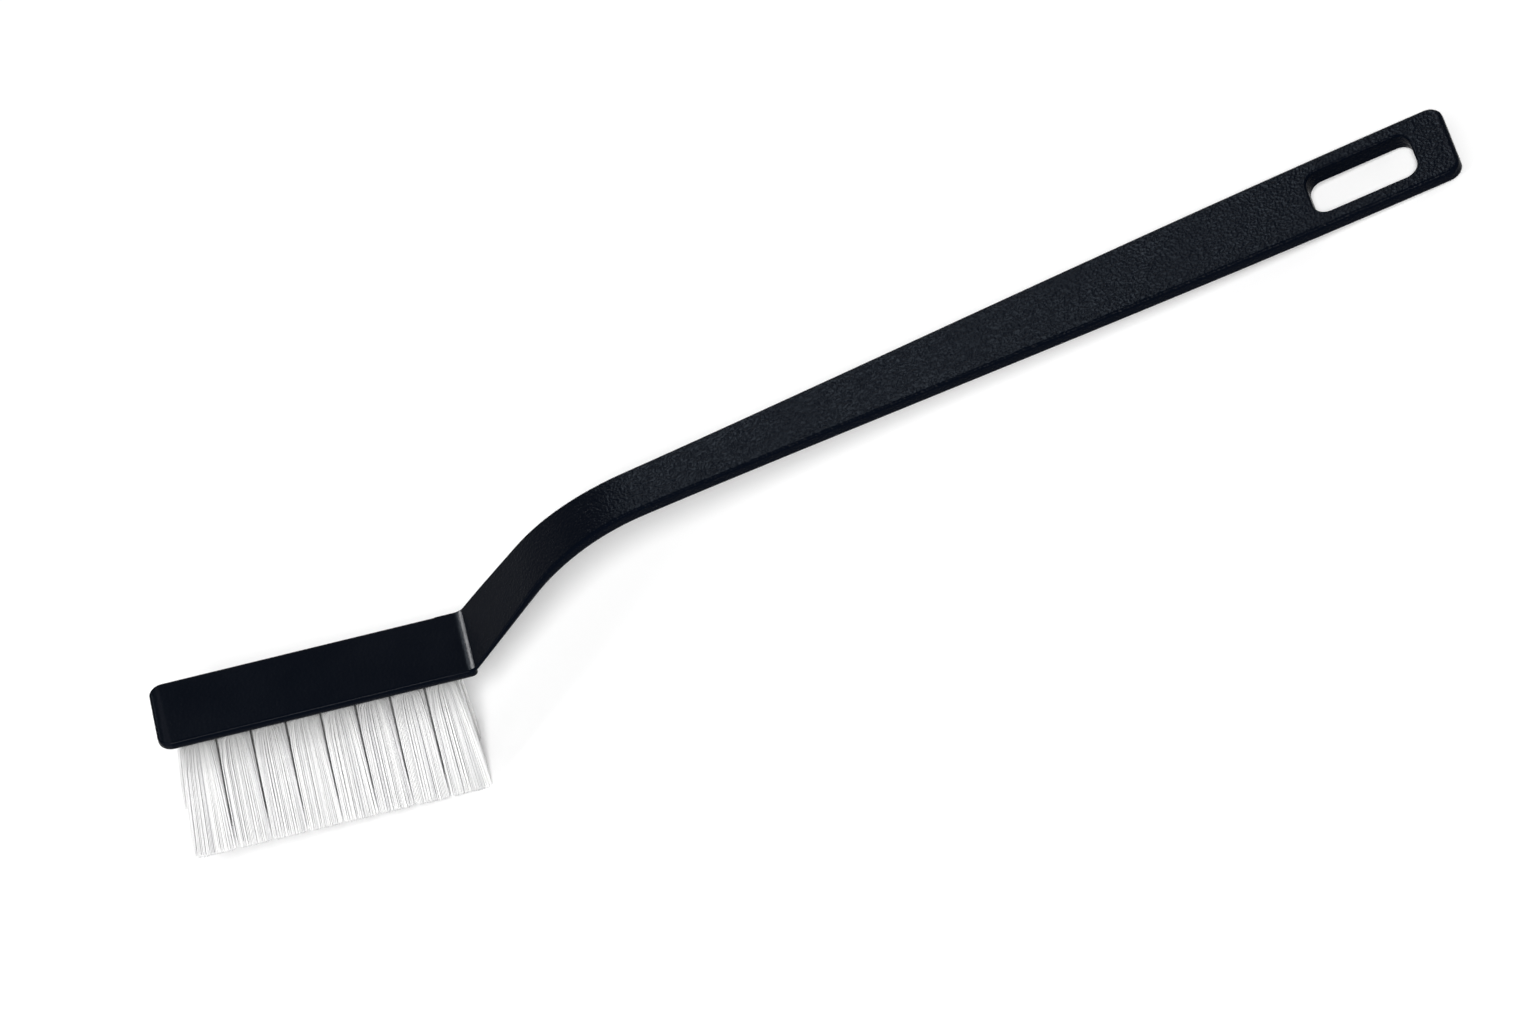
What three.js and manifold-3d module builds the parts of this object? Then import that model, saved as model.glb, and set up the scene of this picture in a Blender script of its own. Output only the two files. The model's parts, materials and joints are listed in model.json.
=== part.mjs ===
// A toothbrush-shaped cleaning brush for polishing pads, in millimetres, +Z up.
// One black moulding holds three staggered rows of nylon tufts. A flat metal anchor, driven across the
// bottom of each hole, pins the fold of its tuft.
//
// The pieces are drawn with X along the head from its free end towards the handle, Y across, and Z = 0
// on the head's back, so that the bristles point down. The finished brush is then laid down as it rests
// on a table: on the heel of its bristles and the end of its handle.

import * as THREE from 'three';
import { mergeVertices } from 'three/addons/utils/BufferGeometryUtils.js';
import Module from 'manifold-3d';

// Line of the top face, measured between the corners of its three straight runs. The crease between head
// and neck is a fillet, which takes its share of the turn, and then a tight corner.
const HEAD_LENGTH = 49.7;
const NECK_LENGTH = 28.95;
const HANDLE_LENGTH = 146.3;
const NECK_ANGLE = THREE.MathUtils.degToRad(51);
const HANDLE_ANGLE = THREE.MathUtils.degToRad(15.08);
const CREASE_RADIUS = 2.5;
const CREASE_CORNER = 0.4;
const CREASE_SHARE = 0.64;
const BEND_RADIUS = 36.8;

// Sections of the moulding. The edge is the upright part of the side, the bevel slopes in below it to
// the flat underside, and the round softens the corner of the top face. One section passes into the next
// along a sine, and the ease delays its start.
const HEAD = { width: 12.4, thickness: 2.7, edge: 1.3, bevel: 1.1, round: 0.5 };
const NECK_ROOT = { width: 12.4, thickness: 2.5, edge: 0.45, bevel: 2.8, round: 0.35 };
const NECK = { width: 8.2, thickness: 3.1, edge: 1.9, bevel: 1.3, round: 0.5 };
const GRIP_END = { width: 13.45, thickness: 3.1, edge: 1.9, bevel: 1.3, round: 0.6 };
const SECTION_EASE = 1.3;

// Ends of the moulding: corners in plan at the head's free end, at its heel and at the end of the grip. The
// heel reaches a little past the crease, and the root is the part of the neck that lies inside the head.
const HEAD_CORNER = 2.2;
const HEEL_CORNER = 0.9;
const GRIP_CORNER = 2.4;
const HEEL_OVERHANG = 0.6;
const ROOT_LENGTH = 3;

// Hang slot: the land is the moulding left beyond it, the wall what is left on each side
const SLOT_LENGTH = 16.7;
const SLOT_LAND = 5.95;
const SLOT_WALL = 2.6;
const SLOT_CORNER = 2.8;
const SLOT_RIM = 0.4;

// Tuft holes: a row along each side of the head and a shorter one between them
const TUFTS_IN_OUTER_ROW = 8;
const FIRST_TUFT_INSET = 5.94;
const LAST_TUFT_INSET = 5.3;
const ROW_PITCH = 3.25;
const HOLE_DIAMETER = 3.8;
const HOLE_FLOOR = 0.6;

// Tufts: the tips spread along the head and across it, and each fills its own cell of the trimmed face. A
// tuft at the end of its row flares further on its free side.
const TRIM_LENGTH = 25.8;
const TIP_SPREAD = 1.042;
const TIP_BLOCK_WIDTH = 14.2;
const TIP_LEAN = -0.94;
const END_FLARE = 1.2;
const TUFT_GAP = 0.14;
const TIP_ROUND = 0.8;
const TIP_SQUARENESS = 0.25;
const FAN_SPEED = 14;
const TUFT_CLEARANCE = 0.1;

// Anchors: the sink is how far inside the hole the lower edge lies, the bite how far each end enters its
// wall, and the fold the thickness of the bent filaments between the anchor and the hole's floor
const ANCHOR_THICKNESS = 0.35;
const ANCHOR_SINK = 0.35;
const ANCHOR_BITE = 0.25;
const ANCHOR_CLEARANCE = 0.1;
const FOLD_THICKNESS = 0.45;

// How finely round shapes are divided
const ROUND_STEPS = 3;
const CORNER_STEPS = 5;
const ARC_STEP = THREE.MathUtils.degToRad(7);
const STRAIGHT_STEP = 9;
const HOLE_SIDES = 16;
const TUFT_SIDES = 16;
const FAN_STEPS = 5;
const TIP_STEPS = 2;

const black = { color: 0x14161a, roughness: 0.45, metalness: 0 };
const nylon = { color: 0xf2f2ee, roughness: 0.35, metalness: 0 };
const steel = { color: 0xb9bcc0, roughness: 0.3, metalness: 1 };

const QUARTER = Math.PI / 2;
const CUT_MARGIN = 1;
const { lerp } = THREE.MathUtils;
const wasm = await Module();
wasm.setup();

// A closed solid from rings of equally many points. Each ring runs clockwise as seen by someone who
// looks from the first ring towards the last one.
function loft(rings) {
  const sides = rings[0].length;
  const points = rings.flat();
  const triangles = [];
  for (let ring = 0; ring + 1 < rings.length; ring++) {
    for (let side = 0; side < sides; side++) {
      const a = ring * sides + side;
      const b = ring * sides + ((side + 1) % sides);
      triangles.push(a, b, a + sides, b, b + sides, a + sides);
    }
  }
  const middle = (ring) => {
    const sum = ring.reduce((total, point) => total.add(point), new THREE.Vector3());
    return sum.divideScalar(sides);
  };
  const last = (rings.length - 1) * sides;
  const start = points.push(middle(rings[0])) - 1;
  const end = points.push(middle(rings.at(-1))) - 1;
  for (let side = 0; side < sides; side++) {
    const next = (side + 1) % sides;
    triangles.push(start, next, side, end, last + side, last + next);
  }
  return new THREE.BufferGeometry().setFromPoints(points).setIndex(triangles);
}

// The same shape as a solid that can be cut. Triangles that merging has closed up are left out.
function solid(geometry) {
  const bare = geometry.clone();
  bare.deleteAttribute('normal');
  bare.deleteAttribute('uv');
  const merged = mergeVertices(bare);
  const triangles = [];
  for (let i = 0; i < merged.index.count; i += 3) {
    const corners = [0, 1, 2].map((k) => merged.index.getX(i + k));
    if (new Set(corners).size === 3) {
      triangles.push(...corners);
    }
  }
  const vertProperties = new Float32Array(merged.attributes.position.array);
  const triVerts = new Uint32Array(triangles);
  return new wasm.Manifold(new wasm.Mesh({ numProp: 3, vertProperties, triVerts }));
}

function cutAway(bodies, cutters) {
  let left = solid(bodies[0]);
  for (const body of bodies.slice(1)) {
    left = left.add(solid(body));
  }
  for (const cutter of cutters) {
    left = left.subtract(solid(cutter));
  }
  const mesh = left.getMesh();
  const geometry = new THREE.BufferGeometry();
  geometry.setAttribute('position', new THREE.BufferAttribute(new Float32Array(mesh.vertProperties), 3));
  geometry.setIndex(new THREE.BufferAttribute(new Uint32Array(mesh.triVerts), 1));
  return geometry;
}

function piece(name, geometry, finish) {
  const mesh = new THREE.Mesh(geometry, new THREE.MeshStandardMaterial(finish));
  mesh.name = name;
  return mesh;
}

// Line of the top face: straight head, fillet, corner, straight neck, bend, straight handle
const filletTurn = NECK_ANGLE * CREASE_SHARE;
const cornerTurn = NECK_ANGLE - filletTurn;
const bendTurn = NECK_ANGLE - HANDLE_ANGLE;
const filletRun = CREASE_RADIUS * Math.tan(filletTurn / 2);
const cornerRun = CREASE_CORNER * Math.tan(cornerTurn / 2);
const bendRun = BEND_RADIUS * Math.tan(bendTurn / 2);
const creaseSide = (filletRun + cornerRun) / Math.sin(NECK_ANGLE);
const headCut = filletRun + creaseSide * Math.sin(cornerTurn);
const neckCut = cornerRun + creaseSide * Math.sin(filletTurn);
const topLine = [
  { length: HEAD_LENGTH - headCut, turn: 0 },
  { length: CREASE_RADIUS * filletTurn, turn: filletTurn },
  { length: CREASE_CORNER * cornerTurn, turn: cornerTurn },
  { length: NECK_LENGTH - neckCut - bendRun, turn: 0 },
  { length: BEND_RADIUS * bendTurn, turn: -bendTurn },
  { length: HANDLE_LENGTH - bendRun, turn: 0 },
];
const runEnds = topLine.map((_, i) => (
  topLine.slice(0, i + 1).reduce((sum, run) => sum + run.length, 0)
));
const [headRunEnd, filletEnd, creaseEnd, neckRunEnd, bendEnd, lineEnd] = runEnds;

// Point and slope of the top line at a distance from the free end of the head
function along(distance) {
  const place = { x: 0, z: 0, slope: 0 };
  let left = distance;
  for (const run of topLine) {
    const step = Math.min(left, run.length);
    const turned = run.turn * (step / run.length);
    if (run.turn === 0) {
      place.x += step * Math.cos(place.slope);
      place.z += step * Math.sin(place.slope);
    } else {
      const radius = run.length / run.turn;
      place.x += radius * (Math.sin(place.slope + turned) - Math.sin(place.slope));
      place.z += radius * (Math.cos(place.slope) - Math.cos(place.slope + turned));
    }
    place.slope += turned;
    left -= step;
  }
  return place;
}

// The strap's section at a distance, blended between the named ones
const slotEnd = lineEnd - SLOT_LAND;
const slotMiddle = slotEnd - SLOT_LENGTH / 2;

function blend(from, to, share) {
  const size = {};
  for (const key of Object.keys(from)) {
    size[key] = lerp(from[key], to[key], share);
  }
  return size;
}

function sectionAt(distance) {
  const onNeck = distance < bendEnd;
  const [from, to] = onNeck ? [creaseEnd, bendEnd] : [bendEnd, slotEnd];
  const share = THREE.MathUtils.clamp((distance - from) / (to - from), 0, 1);
  const eased = Math.sin(share ** SECTION_EASE * QUARTER);
  return onNeck ? blend(NECK_ROOT, NECK, eased) : blend(NECK, GRIP_END, eased);
}

// How far a quarter-round of a radius has pulled in, this far from the end
function pulledIn(radius, fromEnd) {
  const rest = Math.max(radius - fromEnd, 0);
  return radius - Math.sqrt(radius * radius - rest * rest);
}

// One ring of the moulding, across a place on its top line. Close to an end the corners round off in plan,
// the top round turns over the end, and the bevel runs round underneath. The round is never deeper than
// the upright edge that it softens.
function sectionRing(place, size, fromEnd, corner) {
  const half = size.width / 2 - pulledIn(corner, fromEnd);
  const round = Math.min(size.round, size.edge);
  const topDepth = pulledIn(round, fromEnd);
  const bevelShare = Math.min(fromEnd / size.bevel, 1);
  const side = [];
  for (let step = 0; step <= ROUND_STEPS; step++) {
    const angle = (step / ROUND_STEPS) * QUARTER;
    const across = half - round * (1 - Math.sin(angle));
    side.push([across, round - (round - topDepth) * Math.cos(angle)]);
  }
  side.push([half, size.edge]);
  side.push([half - size.bevel * bevelShare, lerp(size.edge, size.thickness, bevelShare)]);
  const mirrored = side.map(([across, depth]) => [-across, depth]);
  return [...mirrored, ...side.reverse()].map(([across, depth]) => new THREE.Vector3(
    place.x + depth * Math.sin(place.slope),
    across,
    place.z - depth * Math.cos(place.slope),
  ));
}

// Insets from an end at which its corners, top round and bevel need a ring
function endInsets(section, corner) {
  const insets = [section.round / 2, section.round, section.bevel];
  for (let step = 0; step <= CORNER_STEPS; step++) {
    insets.push(corner * (1 - Math.cos((step / CORNER_STEPS) * QUARTER)));
  }
  return insets;
}

const inOrder = (stations) => [...new Set(stations)].sort((a, b) => a - b);

// The head: a flat plate with rounded ends, which reaches a little past the crease
function headPlate() {
  const end = HEAD_LENGTH + HEEL_OVERHANG;
  const toe = endInsets(HEAD, HEAD_CORNER);
  const heel = endInsets(HEAD, HEEL_CORNER).map((inset) => end - inset);
  const rings = inOrder([...toe, ...heel]).map((x) => {
    const atToe = x < end / 2;
    const fromEnd = atToe ? x : end - x;
    return sectionRing({ x, z: 0, slope: 0 }, HEAD, fromEnd, atToe ? HEAD_CORNER : HEEL_CORNER);
  });
  return loft(rings);
}

// The strap: neck and handle in one, rooted in the head, with rings close together in its bends
function strap() {
  const stations = endInsets(GRIP_END, GRIP_CORNER).map((inset) => lineEnd - inset);
  const divide = (from, to, parts) => {
    for (let part = 0; part <= parts; part++) {
      stations.push(lerp(from, to, part / parts));
    }
  };
  divide(headRunEnd - ROOT_LENGTH, headRunEnd, 1);
  divide(headRunEnd, filletEnd, Math.ceil(filletTurn / ARC_STEP));
  divide(filletEnd, creaseEnd, Math.ceil(cornerTurn / ARC_STEP));
  divide(creaseEnd, neckRunEnd, Math.ceil((neckRunEnd - creaseEnd) / STRAIGHT_STEP));
  divide(neckRunEnd, bendEnd, Math.ceil(bendTurn / ARC_STEP));
  divide(bendEnd, lineEnd - GRIP_CORNER, Math.ceil((lineEnd - bendEnd) / STRAIGHT_STEP));
  return loft(inOrder(stations).map((distance) => (
    sectionRing(along(distance), sectionAt(distance), lineEnd - distance, GRIP_CORNER)
  )));
}

// A rounded rectangle lofted through the handle, opening out into a chamfered rim at both faces
function slotCutter() {
  const middle = along(slotMiddle);
  const { width, thickness } = sectionAt(slotMiddle);
  const half = { x: SLOT_LENGTH / 2, y: width / 2 - SLOT_WALL };
  const corner = Math.min(SLOT_CORNER, half.x, half.y);
  const levels = [
    { height: -thickness - CUT_MARGIN, growth: SLOT_RIM + CUT_MARGIN },
    { height: SLOT_RIM - thickness, growth: 0 },
    { height: -SLOT_RIM, growth: 0 },
    { height: CUT_MARGIN, growth: SLOT_RIM + CUT_MARGIN },
  ];
  const rings = levels.map(({ height, growth }) => {
    const ring = [];
    for (const [turn, signX, signY] of [[0, 1, 1], [1, -1, 1], [2, -1, -1], [3, 1, -1]]) {
      for (let step = 0; step <= CORNER_STEPS; step++) {
        const angle = (turn + step / CORNER_STEPS) * QUARTER;
        ring.push(new THREE.Vector3(
          signX * (half.x - corner) + (corner + growth) * Math.cos(angle),
          signY * (half.y - corner) + (corner + growth) * Math.sin(angle),
          height,
        ));
      }
    }
    return ring;
  });
  return loft(rings).rotateY(-middle.slope).translate(middle.x, 0, middle.z);
}

// Holes of the three rows, and where the tips of their tufts come to
const rows = [
  { name: 'front', side: -1, tufts: TUFTS_IN_OUTER_ROW },
  { name: 'middle', side: 0, tufts: TUFTS_IN_OUTER_ROW - 1 },
  { name: 'back', side: 1, tufts: TUFTS_IN_OUTER_ROW },
];
const tuftPitch = (HEAD_LENGTH - FIRST_TUFT_INSET - LAST_TUFT_INSET) / (TUFTS_IN_OUTER_ROW - 1);
const rowMiddle = FIRST_TUFT_INSET + ((TUFTS_IN_OUTER_ROW - 1) / 2) * tuftPitch;
const rootCell = { x: tuftPitch, y: ROW_PITCH };
const tipCell = { x: tuftPitch * TIP_SPREAD, y: TIP_BLOCK_WIDTH / rows.length };
const holes = rows.flatMap((row) => Array.from({ length: row.tufts }, (_, i) => {
  const place = i - (row.tufts - 1) / 2;
  const atEnd = i === 0 || i === row.tufts - 1;
  const flare = atEnd ? END_FLARE : 0;
  return {
    label: `${row.name}_${i + 1}`,
    x: rowMiddle + place * rootCell.x,
    y: row.side * rootCell.y,
    tipX: rowMiddle + TIP_LEAN + place * tipCell.x + (Math.sign(place) * flare) / 2,
    tipY: row.side * tipCell.y,
    tipWidth: tipCell.x + flare,
  };
}));

// Depths below the head's back. The fold of the tuft lies on the floor of its hole, and the anchor lies
// in the fold.
const tuftRoot = HOLE_FLOOR + TUFT_CLEARANCE;
const slitTop = tuftRoot + FOLD_THICKNESS;
const anchorTop = slitTop + ANCHOR_CLEARANCE;
const anchorBottom = HEAD.thickness - ANCHOR_SINK;
const tipDepth = HEAD.thickness + TRIM_LENGTH;

// A flat block across a hole, as long as the anchor, with the clearance added all round
function anchorBlock(hole, top, bottom, clearance) {
  const block = new THREE.BoxGeometry(
    HOLE_DIAMETER + 2 * (ANCHOR_BITE + clearance),
    ANCHOR_THICKNESS + 2 * clearance,
    bottom - top + 2 * clearance,
  );
  return block.translate(hole.x, hole.y, -(top + bottom) / 2);
}

// A blind hole, and the slit that the anchor's ends cut on their way to their seat
function holeCutters(hole) {
  const mouth = HEAD.thickness + CUT_MARGIN;
  const depth = mouth - HOLE_FLOOR;
  const bore = new THREE.CylinderGeometry(HOLE_DIAMETER / 2, HOLE_DIAMETER / 2, depth, HOLE_SIDES);
  bore.rotateX(QUARTER).translate(hole.x, hole.y, -HOLE_FLOOR - depth / 2);
  return [bore, anchorBlock(hole, anchorTop, mouth, ANCHOR_CLEARANCE)];
}

// A bundle is round in its hole. Close below the head it opens and squares up to fill its cell, which
// widens towards the trimmed face. The anchor passes through a window in it.
function tuft(hole) {
  const rootRadius = HOLE_DIAMETER / 2 - TUFT_CLEARANCE;
  const ring = (depth, inset) => {
    const share = Math.max(depth - HEAD.thickness, 0) / TRIM_LENGTH;
    const opened = 1 - (1 - share) ** FAN_SPEED;
    const power = lerp(1, TIP_SQUARENESS, opened);
    const reach = (cosine, rootWidth, tipWidth) => {
      const cellHalf = (lerp(rootWidth, tipWidth, share) - TUFT_GAP) / 2;
      const radius = lerp(rootRadius, cellHalf, opened) - inset;
      return radius * Math.sign(cosine) * Math.abs(cosine) ** power;
    };
    const points = [];
    for (let side = 0; side < TUFT_SIDES; side++) {
      const angle = -((side + 0.5) / TUFT_SIDES) * 2 * Math.PI;
      points.push(new THREE.Vector3(
        lerp(hole.x, hole.tipX, share) + reach(Math.cos(angle), rootCell.x, hole.tipWidth),
        lerp(hole.y, hole.tipY, share) + reach(Math.sin(angle), rootCell.y, tipCell.y),
        -depth,
      ));
    }
    return points;
  };
  const rings = [ring(tuftRoot, 0)];
  for (let step = 0; step <= FAN_STEPS; step++) {
    rings.push(ring(HEAD.thickness + (TRIM_LENGTH - TIP_ROUND) * (step / FAN_STEPS) ** 2, 0));
  }
  for (let step = 1; step <= TIP_STEPS; step++) {
    const angle = (step / TIP_STEPS) * QUARTER;
    const inset = TIP_ROUND * (1 - Math.cos(angle));
    rings.push(ring(tipDepth - TIP_ROUND * (1 - Math.sin(angle)), inset));
  }
  return cutAway([loft(rings)], [anchorBlock(hole, anchorTop, anchorBottom, ANCHOR_CLEARANCE)]);
}

const handleShape = cutAway(
  [headPlate(), strap()],
  [slotCutter(), ...holes.flatMap(holeCutters)],
);

const brush = new THREE.Group();
brush.add(piece('handle', handleShape, black));
for (const hole of holes) {
  brush.add(piece(`tuft_${hole.label}`, tuft(hole), nylon));
  brush.add(piece(`anchor_${hole.label}`, anchorBlock(hole, anchorTop, anchorBottom, 0), steel));
}

// Lay the brush down on the heel of its bristles and the end of its grip. A line from a tip to the grip must
// leave the whole grip above it, and the steepest such line leaves all tips above it too: that is the table.
// The origin is on the table, under the middle of the brush.
function pointsOf(geometry) {
  const { position } = geometry.attributes;
  const pointAt = (_, i) => new THREE.Vector3().fromBufferAttribute(position, i);
  return Array.from({ length: position.count }, pointAt);
}

const tipPoints = brush.children
  .filter((child) => child.name.startsWith('tuft_'))
  .flatMap((child) => pointsOf(child.geometry))
  .filter((point) => point.z < -tipDepth / 2);
const gripPoints = pointsOf(handleShape).filter((point) => point.x > HEAD_LENGTH + NECK_LENGTH);
const tilts = tipPoints.map((tip) => (
  Math.min(...gripPoints.map((point) => Math.atan2(point.z - tip.z, point.x - tip.x)))
));
brush.rotation.y = Math.max(...tilts);
brush.updateMatrixWorld(true);
const reach = new THREE.Box3().setFromObject(brush, true);
brush.position.set(-(reach.min.x + reach.max.x) / 2, 0, -reach.min.z);

const part = new THREE.Group();
part.add(brush);

export default part;
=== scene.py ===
# %% [markdown]
# # A cleaning brush for polishing pads
#
# The brush is a black plastic moulding, shaped like a toothbrush, with 23 tufts of stiff white nylon under
# its head. The solids of all its pieces come ready-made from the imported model, which is loaded first and
# never moved. This lesson adds the looks: softened edges and grain on the plastic, real filaments in the
# tufts, and the light and camera of a plain product photograph.

import json
import math

import bmesh
import bpy
from mathutils import Matrix, Vector


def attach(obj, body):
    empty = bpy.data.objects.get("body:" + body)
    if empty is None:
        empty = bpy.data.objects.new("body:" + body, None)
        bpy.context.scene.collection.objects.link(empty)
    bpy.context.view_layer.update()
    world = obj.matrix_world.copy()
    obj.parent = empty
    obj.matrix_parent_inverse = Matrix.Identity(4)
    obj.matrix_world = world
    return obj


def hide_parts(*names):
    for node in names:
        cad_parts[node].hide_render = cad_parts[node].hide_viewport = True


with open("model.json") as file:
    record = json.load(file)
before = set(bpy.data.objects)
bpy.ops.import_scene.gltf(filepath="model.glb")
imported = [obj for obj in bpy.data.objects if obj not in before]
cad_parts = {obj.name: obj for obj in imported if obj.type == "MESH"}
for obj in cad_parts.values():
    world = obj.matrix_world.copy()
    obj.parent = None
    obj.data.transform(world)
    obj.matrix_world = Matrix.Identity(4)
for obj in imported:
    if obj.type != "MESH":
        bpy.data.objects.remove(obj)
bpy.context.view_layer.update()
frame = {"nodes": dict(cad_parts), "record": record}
print("packed nodes:", len(frame["nodes"]))

# %% [markdown]
# The brush rests on the heel of its bristles and the end of its handle, so its head is tilted on the table.
# It is much easier to draw flat: X along the head, Y across, Z = 0 on the head's back, in millimetres. One
# matrix then lays every drawn mesh down. It is read from the record, which gives a point of the head's back
# and its normal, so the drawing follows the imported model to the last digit.

# %% Find how the drawing lies on the table
MILLIMETRE = 0.001
HEAD_BACK_POINT = Vector((24, 0, 0))

head_back = next(m for m in frame["record"]["mounts"] if m["name"] == "head_back")
up = Vector(head_back["axis"]).normalized()
across = Vector((0, 1, 0))
forward = across.cross(up)
tilt = Matrix((forward, across, up)).transposed().to_4x4()
lay_down = (
    Matrix.Translation(head_back["pos_m"])
    @ tilt
    @ Matrix.Scale(MILLIMETRE, 4)
    @ Matrix.Translation(-HEAD_BACK_POINT)
)
print("head tilted by", round(math.degrees(math.asin(up.x)), 2), "degrees")

# %% [markdown]
# ## The camera
#
# The photograph looks down on the brush from a good distance, so its parallel edges stay nearly parallel: a
# long lens far away. The picture is also turned a little, which puts the handle in the upper right corner.
# The camera is aimed in the drawing, where its angles are easy to read, and laid down with the brush.

# %% Set up the camera
LENS = 150
SENSOR = 36
CAMERA_SIDE = math.radians(-4)
CAMERA_HEIGHT = math.radians(50)
CAMERA_ROLL = math.radians(10.56)
CAMERA_DISTANCE = 980.9
CAMERA_AIM = Vector((99.23, 0, 12.94))

towards_camera = Vector((
    math.sin(CAMERA_SIDE) * math.cos(CAMERA_HEIGHT),
    -math.cos(CAMERA_SIDE) * math.cos(CAMERA_HEIGHT),
    math.sin(CAMERA_HEIGHT),
))
level_right = Vector((math.cos(CAMERA_SIDE), math.sin(CAMERA_SIDE), 0))
level_up = towards_camera.cross(level_right)
picture_right = level_right * math.cos(CAMERA_ROLL) - level_up * math.sin(CAMERA_ROLL)
picture_up = level_right * math.sin(CAMERA_ROLL) + level_up * math.cos(CAMERA_ROLL)

camera = bpy.data.objects.new("camera", bpy.data.cameras.new("camera"))
camera.data.lens = LENS
camera.data.sensor_width = SENSOR
camera.data.clip_start = 0.05
bpy.context.scene.collection.objects.link(camera)
bpy.context.scene.camera = camera
turn = tilt @ Matrix((picture_right, picture_up, towards_camera)).transposed().to_4x4()
camera.matrix_world = (
    Matrix.Translation(lay_down @ (CAMERA_AIM + towards_camera * CAMERA_DISTANCE)) @ turn
)
bpy.context.scene.view_settings.view_transform = "Standard"
print("camera at", [round(v, 3) for v in camera.matrix_world.translation])

# %% [markdown]
# ## The handle's line
#
# Head, neck and handle are one moulding, and the middle of its top face runs along a line of straights and
# arcs: the flat head, a small fillet that ends in a tight corner, the rising neck, a wide bend and the long
# handle. A curve object could hold that line, but a function that walks along it gives the point and the
# slope at any distance, which is what a lofted section needs. The handle is drawn a fiftieth of a
# millimetre short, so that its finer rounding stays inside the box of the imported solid.

# %% Walk along the handle's line
HEAD_LENGTH = 49.7
NECK_LENGTH = 28.95
HANDLE_LENGTH = 146.28
NECK_ANGLE = math.radians(51)
HANDLE_ANGLE = math.radians(15.08)
CREASE_RADIUS = 2.5
CREASE_CORNER = 0.4
CREASE_SHARE = 0.64
BEND_RADIUS = 36.8

fillet_turn = NECK_ANGLE * CREASE_SHARE
corner_turn = NECK_ANGLE - fillet_turn
bend_turn = NECK_ANGLE - HANDLE_ANGLE
fillet_run = CREASE_RADIUS * math.tan(fillet_turn / 2)
corner_run = CREASE_CORNER * math.tan(corner_turn / 2)
bend_run = BEND_RADIUS * math.tan(bend_turn / 2)
crease_side = (fillet_run + corner_run) / math.sin(NECK_ANGLE)
runs = [
    (HEAD_LENGTH - fillet_run - crease_side * math.sin(corner_turn), 0),
    (CREASE_RADIUS * fillet_turn, fillet_turn),
    (CREASE_CORNER * corner_turn, corner_turn),
    (NECK_LENGTH - corner_run - crease_side * math.sin(fillet_turn) - bend_run, 0),
    (BEND_RADIUS * bend_turn, -bend_turn),
    (HANDLE_LENGTH - bend_run, 0),
]
run_ends = [sum(length for length, _ in runs[:i + 1]) for i in range(len(runs))]
head_end, fillet_end, crease_end, neck_end, bend_end, line_end = run_ends


def along(distance):
    x, z, slope = 0, 0, 0
    for length, turned in runs:
        step = min(distance, length)
        part = turned * step / length
        if turned:
            radius = length / turned
            x += radius * (math.sin(slope + part) - math.sin(slope))
            z += radius * (math.cos(slope) - math.cos(slope + part))
        else:
            x += step * math.cos(slope)
            z += step * math.sin(slope)
        slope += part
        distance -= step
    return x, z, slope


print("line of the handle:", round(line_end, 1), "mm long")

# %% [markdown]
# ## The handle's sections
#
# Across its line the moulding has a flat top with a rounded edge, an upright side, and a bevel that slopes
# in to the underside. A mould leaves no sharp corner, so the corners below the side are eased as well: a
# Bevel modifier would round all edges by one radius, while a drawn outline can give each its own.

# %% Draw one section
HEAD = {"width": 12.4, "thickness": 2.7, "edge": 1.3, "bevel": 1.1, "round": 0.51}
NECK_ROOT = {"width": 12.4, "thickness": 2.5, "edge": 0.45, "bevel": 2.8, "round": 0.35}
NECK = {"width": 8.2, "thickness": 3.1, "edge": 1.9, "bevel": 1.3, "round": 0.5}
GRIP_END = {"width": 13.45, "thickness": 3.1, "edge": 1.9, "bevel": 1.3, "round": 0.6}
ROUND_STEPS = 6
EASED_REACH = 0.35
QUARTER = math.pi / 2


def lerp(a, b, share):
    return a + (b - a) * share


def pulled_in(radius, from_end):
    rest = max(radius - from_end, 0)
    return radius - math.sqrt(radius * radius - rest * rest)


def eased(before, corner, after):
    """Three points that take the outline round a corner, on a parabola between its two legs."""
    points = []
    for other in (before, after):
        leg = Vector(other) - Vector(corner)
        reach = min(EASED_REACH, leg.length / 2)
        points.append(Vector(corner) + leg.normalized() * reach)
    middle = (points[0] + points[1] + 2 * Vector(corner)) / 4
    return [tuple(points[0]), tuple(middle), tuple(points[1])]


def section_ring(place, size, from_end, corner):
    half = size["width"] / 2 - pulled_in(corner, from_end)
    round_edge = min(size["round"], size["edge"])
    top = pulled_in(round_edge, from_end)
    share = min(from_end / size["bevel"], 1)
    side = []
    for step in range(ROUND_STEPS + 1):
        angle = step / ROUND_STEPS * QUARTER
        depth = max(top, round_edge * (1 - math.cos(angle)))
        side.append((half - round_edge * (1 - math.sin(angle)), depth))
    edge = (half, size["edge"])
    foot = (half - size["bevel"] * share, lerp(size["edge"], size["thickness"], share))
    below = (0, foot[1])
    side = side + eased(side[-1], edge, foot) + eased(edge, foot, below)
    outline = [(-y, depth) for y, depth in side] + side[::-1]
    x, z, slope = place
    return [(x + d * math.sin(slope), y, z - d * math.cos(slope)) for y, d in outline]


print("points in one section:", len(section_ring(along(0), HEAD, HEAD_LENGTH, 0)))

# %% [markdown]
# A loft joins neighbouring rings of points with quads and closes both ends. Where rings shrink to a line at
# the rounded ends, points fall together, so doubles are merged before the normals are set outwards.

# %% Loft rings into a closed mesh
MERGE_DISTANCE = 0.0005


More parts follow.
